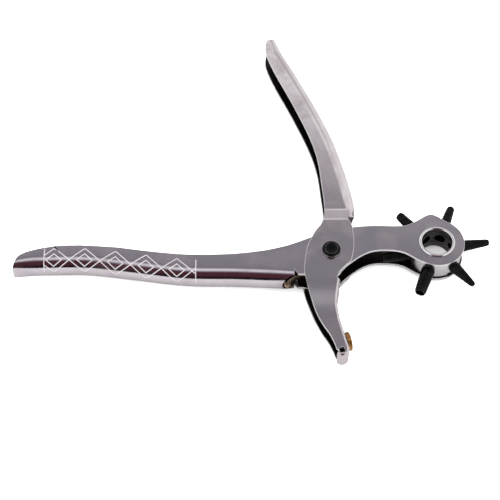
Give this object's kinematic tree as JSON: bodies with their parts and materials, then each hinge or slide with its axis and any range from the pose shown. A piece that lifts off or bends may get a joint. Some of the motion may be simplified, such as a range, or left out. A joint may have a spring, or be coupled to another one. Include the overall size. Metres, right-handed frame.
{
  "type": "revolving leather hole punch",
  "caption": "Plier-style leather hole punch with a turning wheel of hollow punches, a brass anvil and spring-opened folded steel handles.",
  "frame": {"origin": "on the handle pivot's axis, in the plane of the rivet's lower end, which is the tool's lowest plane when it lies on its side", "axes": "+Z along the pivot's axis, up; +X from the pivot towards the punch wheel; +Y towards the anvil lever's grip"},
  "size_m": [0.2278, 0.1907, 0.0194],
  "materials": {
    "polished_nickel_steel": "polished nickel plate with a fine grain",
    "bright_nickel_steel": "bright nickel plate",
    "bright_chrome": "mirror bright",
    "satin_nickel": "satin, turned",
    "black_oxide_steel": "black oxide, half matt",
    "brass": "turned, slightly dulled",
    "bronzed_spring_steel": "straw-tempered wire",
    "plain_steel": "plain turned steel"
  },
  "bodies": {
    "wheel_lever": {"wheel_handle": "polished_nickel_steel", "pivot_rivet": "black_oxide_steel", "rivet_washer": "black_oxide_steel", "pivot_bush": "plain_steel", "return_spring": "bronzed_spring_steel", "index_spring": "bronzed_spring_steel", "index_spring_pin": "plain_steel"},
    "anvil_lever": {"anvil_handle": "bright_nickel_steel", "anvil": "brass"},
    "punch_wheel": {"punch_drum": "satin_nickel", "axle_eyelet_top": "bright_chrome", "axle_eyelet_bottom": "bright_chrome", "punch_tube_4_5mm": "black_oxide_steel", "punch_tube_2_0mm": "black_oxide_steel", "punch_tube_2_5mm": "black_oxide_steel", "punch_tube_3_0mm": "black_oxide_steel", "punch_tube_3_5mm": "black_oxide_steel", "punch_tube_4_0mm": "black_oxide_steel"}
  },
  "joints": [
    {"name": "handle_pivot", "type": "hinge", "parent": "wheel_lever", "child": "anvil_lever", "pos_m": [0, 0, 0.0092], "axis": [0, 0, 1], "range_deg": [0, 55.5], "stiffness_Nm_per_rad": 1, "springref_deg": -34.38, "deforming": ["return_spring"]},
    {"name": "wheel_index", "type": "hinge", "parent": "wheel_lever", "child": "punch_wheel", "pos_m": [0.0507, 0.0058, 0.0092], "axis": [0, 0, 1], "continuous": true, "deforming": ["index_spring"]}
  ]
}
